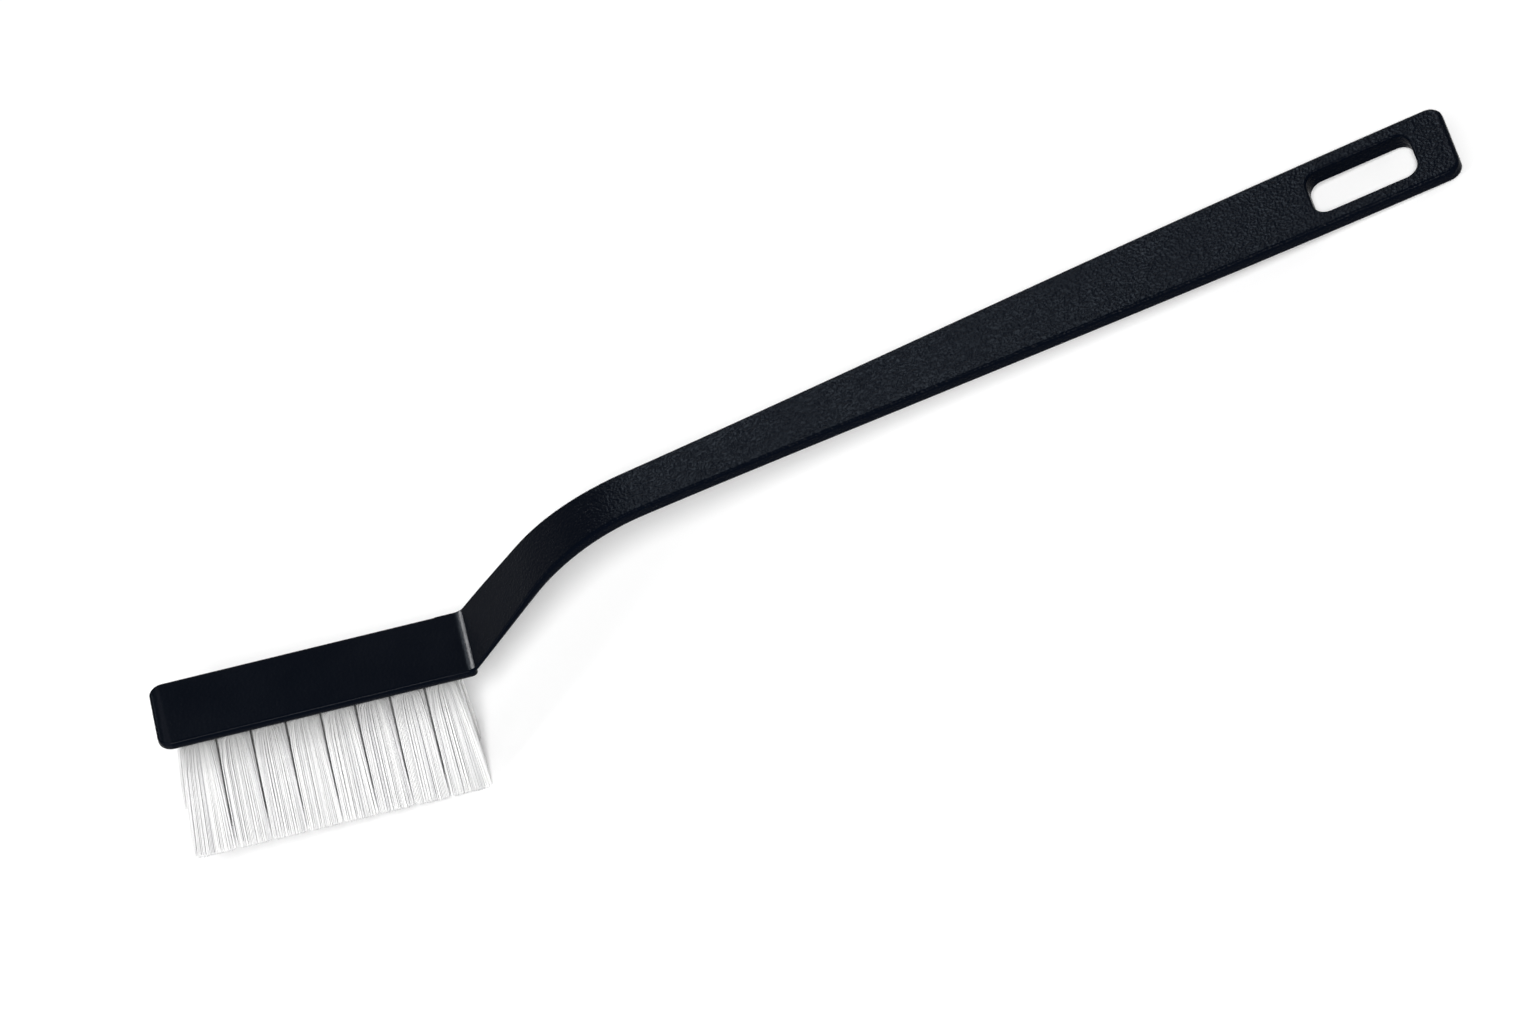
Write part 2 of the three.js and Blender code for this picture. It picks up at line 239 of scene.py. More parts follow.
def loft(name, rings):
    shape = bmesh.new()
    rows = [[shape.verts.new(point) for point in ring] for ring in rings]
    for row, after in zip(rows, rows[1:]):
        for i in range(len(row)):
            shape.faces.new((row[i - 1], row[i], after[i], after[i - 1]))
    shape.faces.new(rows[0])
    shape.faces.new(rows[-1])
    bmesh.ops.remove_doubles(shape, verts=shape.verts, dist=MERGE_DISTANCE)
    bmesh.ops.dissolve_degenerate(shape, edges=shape.edges, dist=MERGE_DISTANCE)
    bmesh.ops.recalc_face_normals(shape, faces=shape.faces)
    mesh = bpy.data.meshes.new(name)
    shape.to_mesh(mesh)
    shape.free()
    made = bpy.data.objects.new(name, mesh)
    bpy.context.scene.collection.objects.link(made)
    return made


# %% [markdown]
# The head is a flat plate with rounded corners, tighter at the heel than at the toe. A cut-out plane could
# be thickened, but sections like the handle's give it the same bevelled edge. Close to an end they draw in
# along the corner's arc, so these places need more sections.

# %% Loft the head plate
HEAD_CORNER = 2.2
HEEL_CORNER = 0.9
HEEL_OVERHANG = 0.6
CORNER_STEPS = 10


def end_insets(section, corner):
    insets = [section["bevel"] * share for share in (0.25, 0.5, 0.75, 1)]
    for step in range(CORNER_STEPS + 1):
        share = 1 - math.cos(step / CORNER_STEPS * QUARTER)
        insets += [corner * share, section["round"] * share]
    return insets


def in_order(stations):
    ordered = sorted(stations)
    kept = [ordered[0]]
    for station in ordered[1:]:
        if station - kept[-1] > 0.01:
            kept.append(station)
    return kept


head_plate_end = HEAD_LENGTH + HEEL_OVERHANG
toe = end_insets(HEAD, HEAD_CORNER)
heel = [head_plate_end - inset for inset in end_insets(HEAD, HEEL_CORNER)]
head_rings = []
for x in in_order(toe + heel):
    at_toe = x < head_plate_end / 2
    from_end = x if at_toe else head_plate_end - x
    corner = HEAD_CORNER if at_toe else HEEL_CORNER
    head_rings.append(section_ring((x, 0, 0), HEAD, from_end, corner))
handle = loft("brush_handle", head_rings)
print("head plate:", len(head_rings), "sections")

# %% [markdown]
# Neck and handle are one strap that starts inside the head. Its section narrows up the neck and widens
# again towards the slot, eased so that no kink shows. Arcs need close sections, straights only a few.

# %% Loft the neck and handle
ROOT_LENGTH = 3
GRIP_CORNER = 2.4
SLOT_LAND = 5.95
SECTION_EASE = 1.3
ARC_STEP = math.radians(2.5)
STRAIGHT_STEP = 2.5
slot_end = line_end - SLOT_LAND


def blend(start, end, share):
    return {key: lerp(start[key], end[key], share) for key in start}


def section_at(distance):
    on_neck = distance < bend_end
    start, stop = (crease_end, bend_end) if on_neck else (bend_end, slot_end)
    share = min(max((distance - start) / (stop - start), 0), 1)
    eased_share = math.sin(share ** SECTION_EASE * QUARTER)
    return blend(NECK_ROOT, NECK, eased_share) if on_neck else blend(NECK, GRIP_END, eased_share)


stations = [line_end - inset for inset in end_insets(GRIP_END, GRIP_CORNER)]
starts = [head_end - ROOT_LENGTH] + run_ends[:-1]
stops = run_ends[:-1] + [line_end - GRIP_CORNER]
for start, stop, (_, turned) in zip(starts, stops, runs):
    parts = math.ceil(abs(turned) / ARC_STEP) if turned else math.ceil((stop - start) / STRAIGHT_STEP)
    stations += [lerp(start, stop, part / parts) for part in range(parts + 1)]
strap_rings = [
    section_ring(along(d), section_at(d), line_end - d, GRIP_CORNER) for d in in_order(stations)
]
strap = loft("strap", strap_rings)
print("neck and handle:", len(strap_rings), "sections")

# %% [markdown]
# Head plate and strap are joined with a Boolean, as the steel of the mould is one cavity. Its exact solver
# copes with the strap's root, whose top lies in the plane of the head's back. A modifier is baked by taking
# the evaluated mesh, which leaves a plain mesh behind.

# %% Join head and handle


def bake_modifiers(made):
    graph = bpy.context.evaluated_depsgraph_get()
    mesh = bpy.data.meshes.new_from_object(made.evaluated_get(graph))
    made.modifiers.clear()
    made.data = mesh


def combine(made, tool, operation):
    step = made.modifiers.new(operation.lower(), "BOOLEAN")
    step.operation = operation
    step.solver = "EXACT"
    step.object = tool
    bake_modifiers(made)
    bpy.data.objects.remove(tool)


combine(handle, strap, "UNION")
print("joined moulding:", len(handle.data.polygons), "faces")

# %% [markdown]
# The hang slot is a rounded rectangle through the grip. Its rim is rounded, so the tool that cuts it opens
# out along a quarter arc at both faces. The arc stops a little short of flat, because a Boolean wants faces
# that cross and not faces that only touch.

# %% Cut the hang slot
SLOT_LENGTH = 16.7
SLOT_WALL = 2.6
SLOT_CORNER = 2.3
SLOT_RIM = 0.4
RIM_ANGLES = [math.radians(degrees) for degrees in (0, 20, 40, 60, 75)]
RIM_RUN_OUT = 0.3

slot_middle = slot_end - SLOT_LENGTH / 2
slot_section = section_at(slot_middle)
flare = [(SLOT_RIM * (1 - math.cos(a)), SLOT_RIM * (1 - math.sin(a))) for a in RIM_ANGLES]
flare.append((
    flare[-1][0] + RIM_RUN_OUT * math.sin(RIM_ANGLES[-1]),
    flare[-1][1] - RIM_RUN_OUT * math.cos(RIM_ANGLES[-1]),
))
levels = [(growth, depth - slot_section["thickness"]) for growth, depth in flare[::-1]]
levels += [(growth, -depth) for growth, depth in flare]
slot_x, slot_z, slot_slope = along(slot_middle)
slot_half_x, slot_half_y = SLOT_LENGTH / 2, slot_section["width"] / 2 - SLOT_WALL
slot_rings = []
for growth, height in levels:
    ring = []
    for quarter, side_x, side_y in ((0, 1, 1), (1, -1, 1), (2, -1, -1), (3, 1, -1)):
        for step in range(CORNER_STEPS + 1):
            angle = (quarter + step / CORNER_STEPS) * QUARTER
            x = side_x * (slot_half_x - SLOT_CORNER) + (SLOT_CORNER + growth) * math.cos(angle)
            y = side_y * (slot_half_y - SLOT_CORNER) + (SLOT_CORNER + growth) * math.sin(angle)
            ring.append((
                slot_x + x * math.cos(slot_slope) - height * math.sin(slot_slope),
                y,
                slot_z + x * math.sin(slot_slope) + height * math.cos(slot_slope),
            ))
    slot_rings.append(ring)
combine(handle, loft("slot_tool", slot_rings), "DIFFERENCE")
print("hang slot:", SLOT_LENGTH, "by", round(2 * slot_half_y, 1), "mm")

# %% [markdown]
# ## Tuft holes
#
# Each tuft sits in a blind hole. Two rows of eight run along the head, and a row of seven sits in the gaps
# between them. Below the head the tufts spread, so each gets a cell of the trimmed face, and the last ones
# of a row a wider cell.

# %% Place the holes
TUFTS_IN_OUTER_ROW = 8
FIRST_TUFT_INSET = 5.94
LAST_TUFT_INSET = 5.3
ROW_PITCH = 3.25
TIP_SPREAD = 1.042
TIP_BLOCK_WIDTH = 14.2
TIP_LEAN = -0.94
END_FLARE = 1.2

tuft_pitch = (HEAD_LENGTH - FIRST_TUFT_INSET - LAST_TUFT_INSET) / (TUFTS_IN_OUTER_ROW - 1)
row_middle = FIRST_TUFT_INSET + (TUFTS_IN_OUTER_ROW - 1) / 2 * tuft_pitch
root_cell = (tuft_pitch, ROW_PITCH)
tip_cell = (tuft_pitch * TIP_SPREAD, TIP_BLOCK_WIDTH / 3)
holes = {}
for row, side, count in (("front", -1, 8), ("middle", 0, 7), ("back", 1, 8)):
    for i in range(count):
        place = i - (count - 1) / 2
        end_flare = END_FLARE if i in (0, count - 1) else 0
        tip_x = row_middle + TIP_LEAN + place * tip_cell[0] + math.copysign(end_flare / 2, place)
        holes[f"{row}_{i + 1}"] = {
            "hole": Vector((row_middle + place * root_cell[0], side * root_cell[1], 0)),
            "tip": Vector((tip_x, side * tip_cell[1], 0)),
            "tip_width": tip_cell[0] + end_flare,
        }
print("tuft holes:", len(holes), "at a pitch of", round(tuft_pitch, 2), "mm")

# %% [markdown]
# A flat metal anchor, driven across each hole, cuts a slit into its wall on both sides. All holes are cut
# by one tool and all slits by another, since the parts of one tool must not overlap.

# %% Cut the holes and the anchors' slits
HOLE_DIAMETER = 3.8
HOLE_FLOOR = 0.6
HOLE_SIDES = 32
FOLD_THICKNESS = 0.45
CLEARANCE = 0.1
ANCHOR_THICKNESS = 0.35
ANCHOR_BITE = 0.25
CUT_MARGIN = 1

mouth_depth = HEAD["thickness"]
slit_top = HOLE_FLOOR + CLEARANCE + FOLD_THICKNESS
slit_half = (HOLE_DIAMETER / 2 + ANCHOR_BITE + CLEARANCE, ANCHOR_THICKNESS / 2 + CLEARANCE)


def tool_at_every_hole(name, outline, top):
    shape = bmesh.new()
    for spot in holes.values():
        ends = []
        for depth in (top, mouth_depth + CUT_MARGIN):
            ends.append([shape.verts.new(spot["hole"] + Vector((x, y, -depth))) for x, y in outline])
        for i in range(len(outline)):
            shape.faces.new((ends[0][i - 1], ends[0][i], ends[1][i], ends[1][i - 1]))
        shape.faces.new(ends[0])
        shape.faces.new(ends[1])
    bmesh.ops.recalc_face_normals(shape, faces=shape.faces)
    mesh = bpy.data.meshes.new(name)
    shape.to_mesh(mesh)
    shape.free()
    made = bpy.data.objects.new(name, mesh)
    bpy.context.scene.collection.objects.link(made)
    return made


circle = [
    (HOLE_DIAMETER / 2 * math.cos(turn), HOLE_DIAMETER / 2 * math.sin(turn))
    for turn in (2 * math.pi * i / HOLE_SIDES for i in range(HOLE_SIDES))
]
slit = [(slit_half[0] * sx, slit_half[1] * sy) for sx, sy in ((1, 1), (-1, 1), (-1, -1), (1, -1))]
combine(handle, tool_at_every_hole("hole_tool", circle, HOLE_FLOOR), "DIFFERENCE")
combine(handle, tool_at_every_hole("slit_tool", slit, slit_top), "DIFFERENCE")
print("moulding with holes:", len(handle.data.polygons), "faces")

# %% [markdown]
# Flat faces should look flat and rounds should look round. The faces are shaded smooth, edges sharper
# than a limit stay sharp, and Weighted Normal lets the large flat faces decide the shading at their
# borders, so no shadow creeps over the flats. The finished mesh is then laid down on the table.

# %% Shade the moulding and lay it down
SHARP_ANGLE = math.radians(32)


def tidy_mesh(made):
    shape = bmesh.new()
    shape.from_mesh(made.data)
    bmesh.ops.remove_doubles(shape, verts=shape.verts, dist=MERGE_DISTANCE)
    bmesh.ops.dissolve_degenerate(shape, edges=shape.edges, dist=MERGE_DISTANCE)
    bmesh.ops.recalc_face_normals(shape, faces=shape.faces)
    open_edges = sum(1 for edge in shape.edges if not edge.is_manifold)
    shape.to_mesh(made.data)
    shape.free()
    return open_edges


print("open edges:", tidy_mesh(handle))
handle.data.shade_smooth()
handle.data.set_sharp_from_angle(angle=SHARP_ANGLE)
weighting = handle.modifiers.new("weighting", "WEIGHTED_NORMAL")
weighting.keep_sharp = True
bake_modifiers(handle)
handle.data.transform(lay_down)
print("handle:", len(handle.data.polygons), "faces")

# %% [markdown]
# ## Materials
#
# Every finish is a small tree of nodes. A helper adds one node, sets its options and fills or links its
# inputs, which keeps each tree readable.

# %% A helper for node trees


def add_node(tree, kind, inputs=None, **options):
    made = tree.nodes.new(kind)
    for name, value in options.items():
        setattr(made, name, value)
    for key, value in (inputs or {}).items():
        if isinstance(value, bpy.types.NodeSocket):
            tree.links.new(value, made.inputs[key])
        else:
            made.inputs[key].default_value = value
    return made


def new_material(name):
    material = bpy.data.materials.new(name)
    material.use_nodes = True
    material.node_tree.nodes.clear()
    return material, material.node_tree


def add_colour_mix(tree, share, first, second):
    """A Mix node for colours, whose sockets of that kind are found by their numbers."""
    made = add_node(tree, "ShaderNodeMix", data_type="RGBA")
    tree.links.new(share, made.inputs[0])
    made.inputs[6].default_value = first
    made.inputs[7].default_value = second
    return made.outputs[2]


def end_material(tree, shader):
    add_node(tree, "ShaderNodeOutputMaterial", {"Surface": shader.outputs[0]})


# %% [markdown]
# The handle is black polypropylene. The steel of the mould was etched, which leaves a fine leathery grain
# on neck and grip, with islands under half a millimetre wide. The head is smoother. A Voronoi pattern,
# pushed about by noise, makes the islands, and a mask along the brush fades the grain towards the head.

# %% Grain of the black plastic
GRAIN_SCALE = 2500
GRAIN_DEPTH = 0.00009

black_plastic, tree = new_material("grained_black_plastic")
place = add_node(tree, "ShaderNodeTexCoord").outputs["Object"]
push = add_node(tree, "ShaderNodeTexNoise", {"Vector": place, "Scale": GRAIN_SCALE * 0.8, "Detail": 2.0})
pushed = add_node(
    tree, "ShaderNodeVectorMath", {0: push.outputs["Color"], 1: (0.00035,) * 3, 2: place},
    operation="MULTIPLY_ADD",
)
islands = add_node(
    tree, "ShaderNodeTexVoronoi", {"Vector": pushed.outputs[0], "Scale": GRAIN_SCALE},
    feature="SMOOTH_F1",
)
crease_x = (lay_down @ Vector((HEAD_LENGTH, 0, 0))).x
split = add_node(tree, "ShaderNodeSeparateXYZ", {0: place})
grain_mask = add_node(tree, "ShaderNodeMapRange", {
    "Value": split.outputs["X"],
    "From Min": crease_x,
    "From Max": crease_x + 0.03,
    "To Min": 0.2,
    "To Max": 1.0,
})
grain = add_node(
    tree, "ShaderNodeMath", {0: islands.outputs["Distance"], 1: grain_mask.outputs[0]},
    operation="MULTIPLY",
)
bump = add_node(tree, "ShaderNodeBump", {
    "Strength": 1.0, "Distance": GRAIN_DEPTH, "Height": grain.outputs[0],
})
print("plastic grain:", round(1000 / GRAIN_SCALE, 2), "mm across")

# %% [markdown]
# The colour is a black with a touch of blue, a little paler where edges are rubbed, which Pointiness
# finds. Handling polishes the plastic in patches, so noise varies its roughness. The studio is white all
# round, and full gloss would turn the handle grey in it, so the specular level is low.

# %% Colour and gloss of the black plastic
PLASTIC_BLACK = (0.0008, 0.0018, 0.0046, 1)
PLASTIC_WORN = (0.0040, 0.0050, 0.0085, 1)

patches = add_node(tree, "ShaderNodeTexNoise", {"Vector": place, "Scale": 90.0, "Detail": 4.0})
roughness = add_node(tree, "ShaderNodeMapRange", {
    "Value": patches.outputs["Fac"],
    "From Min": 0.3,
    "From Max": 0.7,
    "To Min": 0.22,
    "To Max": 0.30,
})
rubbed = add_node(tree, "ShaderNodeMapRange", {
    "Value": add_node(tree, "ShaderNodeNewGeometry").outputs["Pointiness"],
    "From Min": 0.52,
    "From Max": 0.62,
})
colour = add_colour_mix(tree, rubbed.outputs[0], PLASTIC_BLACK, PLASTIC_WORN)
shader = add_node(tree, "ShaderNodeBsdfPrincipled", {
    "Base Color": colour,
    "Roughness": roughness.outputs[0],
    "Specular IOR Level": 0.016,
    "Normal": bump.outputs[0],
})
end_material(tree, shader)
handle.data.materials.clear()
handle.data.materials.append(black_plastic)
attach(handle, "root")
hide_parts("handle")
print("handle material:", len(tree.nodes), "nodes")

# %% [markdown]
# The filaments are drawn nylon: white, a little glossy, and no two quite alike. Each filament carries a
# number called tint, which the material reads to vary its shade. A ramp along the length paints shade
# into the colour: grey at the roots, a painted shadow of the head, and painted shade at the cut tips.
# How deep a point lies below the head is the dot product of its place and the head's normal.

# %% Shade of the white nylon
NYLON_DULL = (0.66, 0.66, 0.67, 1)
NYLON_WHITE = (0.95, 0.95, 0.94, 1)
TRIM_LENGTH = 25.8
# Painted shade along a filament: share of the length from the head, and brightness, dark at the roots and
# the cut tips
PAINTED_SHADE_ALONG = ((0.0, 0.30), (0.1, 0.56), (0.3, 0.90), (0.5, 1.0), (0.98, 1.0), (1.0, 0.5))

white_nylon, tree = new_material("white_nylon")
tint = add_node(tree, "ShaderNodeAttribute", attribute_name="tint")
shade = add_colour_mix(tree, tint.outputs["Fac"], NYLON_DULL, NYLON_WHITE)
place = add_node(tree, "ShaderNodeTexCoord").outputs["Object"]
height = add_node(tree, "ShaderNodeVectorMath", {0: place, 1: up}, operation="DOT_PRODUCT")
root_height = up.dot(Vector(head_back["pos_m"])) - mouth_depth * MILLIMETRE
from_root = add_node(tree, "ShaderNodeMapRange", {
    "Value": height.outputs["Value"],
    "From Min": root_height,
    "From Max": root_height - TRIM_LENGTH * MILLIMETRE,
})
# This ramp paints shade into the nylon's colour: a painted shadow of the head at the roots, and painted
# shade at the cut tips
painted_shade_ramp = add_node(tree, "ShaderNodeValToRGB", {"Fac": from_root.outputs[0]})
ramp_stops = painted_shade_ramp.color_ramp.elements
while len(ramp_stops) < len(PAINTED_SHADE_ALONG):
    ramp_stops.new(0.5)
for stop, (share, level) in zip(ramp_stops, PAINTED_SHADE_ALONG):
    stop.position = share
    stop.color = (level, level, level, 1)
shade = add_node(
    tree, "ShaderNodeVectorMath", {0: shade, 1: painted_shade_ramp.outputs["Color"]}, operation="MULTIPLY",
).outputs[0]
print("nylon shades from", NYLON_DULL[0], "to", NYLON_WHITE[0])

# %% [markdown]
# Nylon is drawn through a die, which leaves faint marks on it. Fine noise stands for them, both in the
# roughness and as a slight bump.

# %% Gloss of the white nylon
drawing = add_node(tree, "ShaderNodeTexNoise", {"Vector": place, "Scale": 1500.0, "Detail": 2.0})
polish = add_node(tree, "ShaderNodeMapRange", {
    "Value": drawing.outputs["Fac"],
    "To Min": 0.28,
    "To Max": 0.42,
})
ripple = add_node(tree, "ShaderNodeBump", {
    "Strength": 0.3, "Distance": 0.00001, "Height": drawing.outputs["Fac"],
})
shader = add_node(tree, "ShaderNodeBsdfPrincipled", {
    "Base Color": shade,
    "Roughness": polish.outputs[0],
    "Specular IOR Level": 0.4,
    "Normal": ripple.outputs[0],
})
end_material(tree, shader)
print("nylon material:", len(tree.nodes), "nodes")

# %% [markdown]
# ## The tufts
#
# A tuft is a bundle of filaments, folded in half over its anchor, so that every filament shows two tips. In
# the hole the bundle is round and tight. Below the head it fans out and fills its cell of the trimmed face.
# Filaments repeat by the hundred and differ only by their place in the bundle, which is the kind of work
# that Geometry Nodes do well: a small grid holds one point per filament, each point gets a straight line,
# and one field then moves the points of all lines to where the folded filament runs.

# %% Inputs of the tuft tree
tuft_tree = bpy.data.node_groups.new("folded_tuft", "GeometryNodeTree")
tuft_tree.is_modifier = True
tuft_tree.interface.new_socket("Geometry", in_out="OUTPUT", socket_type="NodeSocketGeometry")
tuft_inputs = {}
for name, kind in (
    ("Hole", "Vector"), ("Tip", "Vector"), ("Bundle Radius", "Float"), ("Root Half", "Vector"),
    ("Tip Half", "Vector"), ("Tip Round", "Float"), ("Fold Depth", "Float"), ("Fold Room", "Float"),
    ("Mouth Depth", "Float"), ("Trim Length", "Float"), ("Anchor Gap", "Float"),
    ("Filament Diameter", "Float"), ("Columns", "Int"), ("Rows", "Int"), ("Seed", "Int"),
    ("Material", "Material"),
):
    socket = tuft_tree.interface.new_socket(name, in_out="INPUT", socket_type="NodeSocket" + kind)
    tuft_inputs[name] = socket.identifier
given = tuft_tree.nodes.new("NodeGroupInput").outputs
print("tuft tree inputs:", len(tuft_inputs))

# %% [markdown]
# A grid of columns and rows gives each filament its place in the bundle. The rows cover one half only, as
# the fold brings the other tip out on the far side. Every place strays a little from the grid, and the
# points carry their place and stray along as named attributes.

# %% Filament places on a small grid


def calc(operation, a, b=0.0, c=0.0):
    return add_node(tuft_tree, "ShaderNodeMath", {0: a, 1: b, 2: c}, operation=operation).outputs[0]


def vector_calc(operation, a, b):
    return add_node(tuft_tree, "ShaderNodeVectorMath", {0: a, 1: b}, operation=operation).outputs[0]


def random_vector(offset):
    seed = calc("ADD", given["Seed"], offset)
    made = add_node(
        tuft_tree, "FunctionNodeRandomValue", {"Seed": seed}, data_type="FLOAT_VECTOR",
    )
    made.inputs[0].default_value = (-1, -1, -1)
    made.inputs[1].default_value = (1, 1, 1)
    return made.outputs[0]


def store(geometry, name, value):
    made = add_node(
        tuft_tree, "GeometryNodeStoreNamedAttribute", {"Geometry": geometry, "Name": name},
        data_type="FLOAT_VECTOR", domain="POINT",
    )
    tuft_tree.links.new(value, next(s for s in made.inputs if s.name == "Value" and s.enabled))
    return made.outputs[0]


grid = add_node(tuft_tree, "GeometryNodeMeshGrid", {
    "Size X": 2.0, "Size Y": 1.0, "Vertices X": given["Columns"], "Vertices Y": given["Rows"],
})
spread = add_node(tuft_tree, "ShaderNodeCombineXYZ", {
    0: calc("DIVIDE", 0.6, given["Columns"]), 1: calc("DIVIDE", 0.3, given["Rows"]),
}).outputs[0]
at = vector_calc("ADD", add_node(tuft_tree, "GeometryNodeInputPosition").outputs[0], (0, 0.5, 0))
at = vector_calc("ADD", at, vector_calc("MULTIPLY", random_vector(0), spread))
at = vector_calc("MINIMUM", vector_calc("MAXIMUM", at, (-1, 0, 0)), (1, 1, 0))
points = store(grid.outputs["Mesh"], "place", at)
points = store(points, "stray", random_vector(100))
print("nodes for the places:", len(tuft_tree.nodes))

# %% [markdown]
# A straight line of twelve points stands at every place. Its shape doesn't matter yet, because a later
# step moves each point. Realizing the instances makes them real curves that carry the attributes.

# %% One line of points for each filament
LINE_POINTS = 12
LAST = LINE_POINTS - 1

line = add_node(tuft_tree, "GeometryNodeCurvePrimitiveLine", {"Start": (0, 0, 0), "End": (1, 0, 0)})
line = add_node(
    tuft_tree, "GeometryNodeResampleCurve", {"Curve": line.outputs[0], "Count": LINE_POINTS},
)
lines = add_node(tuft_tree, "GeometryNodeInstanceOnPoints", {
    "Points": points, "Instance": line.outputs[0],
})
lines = add_node(tuft_tree, "GeometryNodeRealizeInstances", {0: lines.outputs[0]}).outputs[0]


def carried(name):
    made = add_node(
        tuft_tree, "GeometryNodeInputNamedAttribute", {"Name": name}, data_type="FLOAT_VECTOR",
    )
    split = add_node(tuft_tree, "ShaderNodeSeparateXYZ", {0: made.outputs[0]})
    return split.outputs


column, row, _ = carried("place")
stray_x, stray_y, stray_z = carried("stray")

# %% [markdown]
# The middle of each line is the fold. The first point on either side of it lies on the anchor, the second
# in the mouth of the hole, and the others run on to the tip. Easings do the rest. The bundle opens to the
# full width of its cell close below the head. As the tufts lean towards the toe, each is soon pressed flat
# on that side, while its other flank stays round for longer and lies in the shade of the next.

# %% How far down, how far open, how square
FAN_SPEED = 40
SQUARE_SPEED_TOE = 9
SQUARE_SPEED_HEEL = 1.6


def map_range(value, from_min, from_max, to_min=0.0, to_max=1.0):
    return add_node(tuft_tree, "ShaderNodeMapRange", {
        "Value": value, "From Min": from_min, "From Max": from_max, "To Min": to_min, "To Max": to_max,
    }).outputs[0]


def mix(a, b, share):
    return calc("MULTIPLY_ADD", calc("SUBTRACT", b, a), share, a)


def eased_out(share, speed):
    left = calc("POWER", calc("SUBTRACT", 1.0, share), speed)
    return calc("SUBTRACT", 1.0, left)


run = add_node(tuft_tree, "GeometryNodeSplineParameter").outputs["Factor"]
from_fold = calc("ABSOLUTE", calc("MULTIPLY_ADD", run, 2.0, -1.0))
leg = calc("SIGN", calc("SUBTRACT", run, 0.5))
in_hole = map_range(from_fold, 1 / LAST, 3 / LAST)
down = calc("POWER", map_range(from_fold, 3 / LAST, 1.0), 2.0)
opened = eased_out(down, FAN_SPEED)
heel_side = map_range(column, -0.4, 0.8)
squared = mix(eased_out(down, SQUARE_SPEED_TOE), eased_out(down, SQUARE_SPEED_HEEL), heel_side)

# %% [markdown]
# Across the bundle a filament keeps its place, while the outline changes from the round hole to the
# rectangular cell of the trimmed face. Mixing the same place on a disc and on a square does that, and the
# filaments don't cross. A slight bow makes each one differ.

# %% Where each point of a filament goes across its cell
BOW = 0.05


def parts(vector):
    return add_node(tuft_tree, "ShaderNodeSeparateXYZ", {0: vector}).outputs


def disc(along_side, other):
    """A point of the square, drawn in to the disc that it fills."""
    half_square = calc("MULTIPLY", calc("MULTIPLY", other, other), 0.5)
    return calc("MULTIPLY", along_side, calc("SQRT", calc("SUBTRACT", 1.0, half_square)))


hole_x, hole_y, _ = parts(given["Hole"])
tip_x, tip_y, _ = parts(given["Tip"])
root_half_x, root_half_y, _ = parts(given["Root Half"])
tip_half_x, tip_half_y, _ = parts(given["Tip Half"])
half_x = mix(given["Bundle Radius"], mix(root_half_x, tip_half_x, down), opened)
half_y = mix(given["Bundle Radius"], mix(root_half_y, tip_half_y, down), opened)
gap_share = calc("DIVIDE", given["Anchor Gap"], given["Bundle Radius"])
held_row = mix(mix(gap_share, 1.0, row), row, opened)
in_x = mix(disc(column, held_row), column, squared)
in_y = calc("MULTIPLY", mix(disc(held_row, column), held_row, squared), leg)
bow = calc("MULTIPLY", calc("SINE", calc("MULTIPLY", down, math.pi)), BOW)
x = calc("MULTIPLY_ADD", in_x, half_x, mix(hole_x, tip_x, down))
y = calc("MULTIPLY_ADD", in_y, half_y, mix(hole_y, tip_y, down))
x = calc("MULTIPLY_ADD", stray_x, bow, x)
y = calc("MULTIPLY_ADD", stray_y, bow, y)

# %% [markdown]
# The trimming cutter leaves the corners of every tuft slightly rounded. A filament close to the side of its
# tuft is shorter by what a quarter-round leaves there, and all differ by a hair.

# %% How deep each point lies
TRIM_STRAY = 0.03

to_side = calc("MULTIPLY", calc("SUBTRACT", 1.0, calc("ABSOLUTE", column)), tip_half_x)
on_round = calc("SUBTRACT", 1.0, calc("MINIMUM", calc("DIVIDE", to_side, given["Tip Round"]), 1.0))
left_over = calc("SQRT", calc("SUBTRACT", 1.0, calc("MULTIPLY", on_round, on_round)))
rounded = calc("MULTIPLY", calc("SUBTRACT", 1.0, left_over), given["Tip Round"])
uneven = calc("MULTIPLY_ADD", calc("ABSOLUTE", stray_z), TRIM_STRAY, rounded)
trimmed = calc("SUBTRACT", given["Trim Length"], uneven)
fold = calc("MULTIPLY_ADD", calc("SUBTRACT", 1.0, row), given["Fold Room"], given["Fold Depth"])
depth = calc("MULTIPLY_ADD", down, trimmed, mix(fold, given["Mouth Depth"], in_hole))
position = add_node(tuft_tree, "ShaderNodeCombineXYZ", {0: x, 1: y, 2: calc("MULTIPLY", depth, -1.0)})
print("tuft tree so far:", len(tuft_tree.nodes), "nodes")

# %% [markdown]
# A small circle, swept along every line, makes the filaments solid, with caps on the cut ends. Their tint
# follows a noise across the tuft, so that neighbours form strands of one shade, and a bit of chance.

# %% Give the lines their thickness
FILAMENT_SIDES = 5
STRANDS = 3.0

lines = add_node(tuft_tree, "GeometryNodeSetPosition", {
    "Geometry": lines, "Position": position.outputs[0],
}).outputs[0]
strand = calc("MULTIPLY_ADD", column, STRANDS, calc("MULTIPLY", given["Seed"], 10.0))
strand_tint = add_node(tuft_tree, "ShaderNodeTexNoise", {"W": strand, "Scale": 1.0}, noise_dimensions="1D")
tint_value = mix(map_range(strand_tint.outputs[0], 0.3, 0.7), map_range(stray_z, -1.0, 1.0), 0.25)
lines_tinted = add_node(
    tuft_tree, "GeometryNodeStoreNamedAttribute", {"Geometry": lines, "Name": "tint"},
    data_type="FLOAT", domain="POINT",
)
tuft_tree.links.new(
    tint_value, next(s for s in lines_tinted.inputs if s.name == "Value" and s.enabled),
)
outline = add_node(tuft_tree, "GeometryNodeCurvePrimitiveCircle", {
    "Resolution": FILAMENT_SIDES, "Radius": calc("MULTIPLY", given["Filament Diameter"], 0.5),
})
